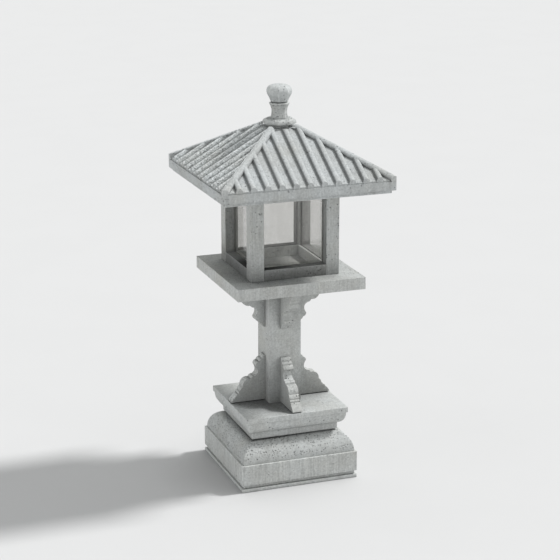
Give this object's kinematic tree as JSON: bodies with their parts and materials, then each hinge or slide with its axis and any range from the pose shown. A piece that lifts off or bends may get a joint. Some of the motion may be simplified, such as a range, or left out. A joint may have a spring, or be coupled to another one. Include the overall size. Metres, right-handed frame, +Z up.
{
  "type": "stone lantern",
  "caption": "Free-standing square stone garden lantern: stepped plinth, column with scroll brackets, glazed lamp chamber and tiled hip roof with finial.",
  "frame": {"origin": "centre of the underside of the foot slab, on the ground", "axes": "+Z up; front is -Y, right is +X; all four sides are alike"},
  "size_m": [0.534, 0.534, 1.2109],
  "materials": {
    "base_stone": "fine sawn and lightly pitted pale grey granite",
    "column_stone": "fine sawn pale grey granite",
    "chamber_stone": "fine sawn pale grey granite",
    "roof_stone": "dressed pale grey granite",
    "finial_stone": "dressed and pitted pale grey granite",
    "pane_glass": "clear float glass with a faint warm grey tint",
    "dowel_steel": "plain stainless bar"
  },
  "bodies": {
    "stand": {"foot_slab": "base_stone", "plinth": "base_stone", "cushion_course": "base_stone", "base_slab": "base_stone", "column": "column_stone", "lower_bracket_front": "column_stone", "lower_bracket_right": "column_stone", "lower_bracket_back": "column_stone", "lower_bracket_left": "column_stone", "upper_bracket_front": "column_stone", "upper_bracket_right": "column_stone", "upper_bracket_back": "column_stone", "upper_bracket_left": "column_stone", "platform": "chamber_stone", "post_front_right": "chamber_stone", "post_back_right": "chamber_stone", "post_back_left": "chamber_stone", "post_front_left": "chamber_stone", "sill_front": "chamber_stone", "sill_right": "chamber_stone", "sill_back": "chamber_stone", "sill_left": "chamber_stone", "glass_front": "pane_glass", "glass_right": "pane_glass", "glass_back": "pane_glass", "glass_left": "pane_glass", "plinth_dowel": "dowel_steel", "cushion_dowel": "dowel_steel", "column_foot_dowel": "dowel_steel", "column_head_dowel": "dowel_steel", "lower_bracket_dowels": "dowel_steel", "upper_bracket_dowels": "dowel_steel", "post_foot_dowels": "dowel_steel", "post_head_dowels": "dowel_steel"},
    "roof": {"ceiling_slab": "roof_stone", "roof_stone": "roof_stone"},
    "finial": {"finial_neck": "finial_stone", "finial_bud": "finial_stone", "finial_dowel": "dowel_steel", "bud_dowel": "dowel_steel"}
  },
  "joints": [
    {"name": "roof_lift", "type": "slide", "parent": "stand", "child": "roof", "axis": [0, 0, 1], "range_m": [0, 0.3]},
    {"name": "finial_lift", "type": "slide", "parent": "roof", "child": "finial", "axis": [0, 0, 1], "range_m": [0, 0.12]}
  ]
}
